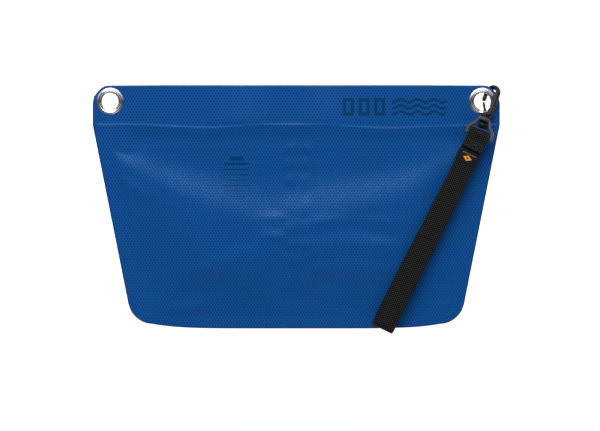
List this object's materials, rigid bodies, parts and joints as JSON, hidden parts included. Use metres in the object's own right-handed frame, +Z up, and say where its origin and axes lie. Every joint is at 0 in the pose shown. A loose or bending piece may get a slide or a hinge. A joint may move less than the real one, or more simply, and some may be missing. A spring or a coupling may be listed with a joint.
{
  "type": "roll-top dry bag",
  "caption": "Flat welded roll-top dry bag with a stiff mouth band, metal eyelets at its ends, and a webbing hand strap on a swivel snap hook clipped through one eyelet.",
  "frame": {"origin": "centre of the outer box, on the plane the bag lies on", "axes": "+Z up from the table, +X to the side that carries the strap, +Y from the bottom of the bag to its mouth"},
  "size_m": [0.3911, 0.2384, 0.0252],
  "materials": {
    "coated_fabric": "blue polyurethane-coated fabric, satin, with a fine embossed mesh",
    "stiffener": "sealed inside the lips",
    "nickel": "bright nickel plate",
    "hook_plastic": "moulded acetal, satin",
    "base_plastic": "moulded acetal, satin",
    "pin_steel": "plain",
    "webbing": "woven polyester webbing",
    "label": null,
    "thread": "polyester thread"
  },
  "bodies": {
    "bag": {"front_panel": "coated_fabric", "back_panel": "coated_fabric", "body_seam": "coated_fabric"},
    "roll_strip": {"front_roll_strip": "coated_fabric", "back_roll_strip": "coated_fabric", "strip_seam": "coated_fabric"},
    "closure_band": {"front_lip": "coated_fabric", "back_lip": "coated_fabric", "front_stiffener": "stiffener", "back_stiffener": "stiffener", "left_eyelet": "nickel", "left_eyelet_washer": "nickel", "right_eyelet": "nickel", "right_eyelet_washer": "nickel"},
    "hook": {"hook_body": "hook_plastic", "gate_pin": "pin_steel"},
    "gate": {"hook_gate": "hook_plastic"},
    "base": {"swivel_base": "base_plastic"},
    "strap": {"strap_webbing": "webbing", "strap_label": "label", "strap_stitching": "thread"}
  },
  "joints": [
    {"name": "second_roll", "type": "hinge", "parent": "bag", "child": "roll_strip", "pos_m": [-0.00014, 0.04305, -0.00704], "axis": [1, 0, 0], "range_deg": [-175, 0]},
    {"name": "first_roll", "type": "hinge", "parent": "roll_strip", "child": "closure_band", "pos_m": [-0.00014, 0.08105, 0.00096], "axis": [-1, 0, 0], "range_deg": [0, 175]},
    {"name": "hook_swing", "type": "hinge", "parent": "closure_band", "child": "hook", "pos_m": [0.17846, 0.10395, 0.00796], "axis": [0, 0, 1], "range_deg": [-5, 40]},
    {"name": "gate_open", "type": "hinge", "parent": "hook", "child": "gate", "pos_m": [0.18184, 0.09235, 0.01455], "axis": [0.5468, -0.4426, -0.7107], "range_deg": [0, 20], "stiffness_Nm_per_rad": 0.1, "springref_deg": -2.86},
    {"name": "base_swivel", "type": "hinge", "parent": "hook", "child": "base", "pos_m": [0.17966, 0.08543, 0.01718], "axis": [0.3427, 0.8928, -0.2924], "range_deg": [-5, 20]},
    {"name": "strap_lift", "type": "hinge", "parent": "base", "child": "strap", "pos_m": [0.17407, 0.07087, 0.02195], "axis": [-0.9336, 0.3584, 0], "range_deg": [0, 90]}
  ]
}
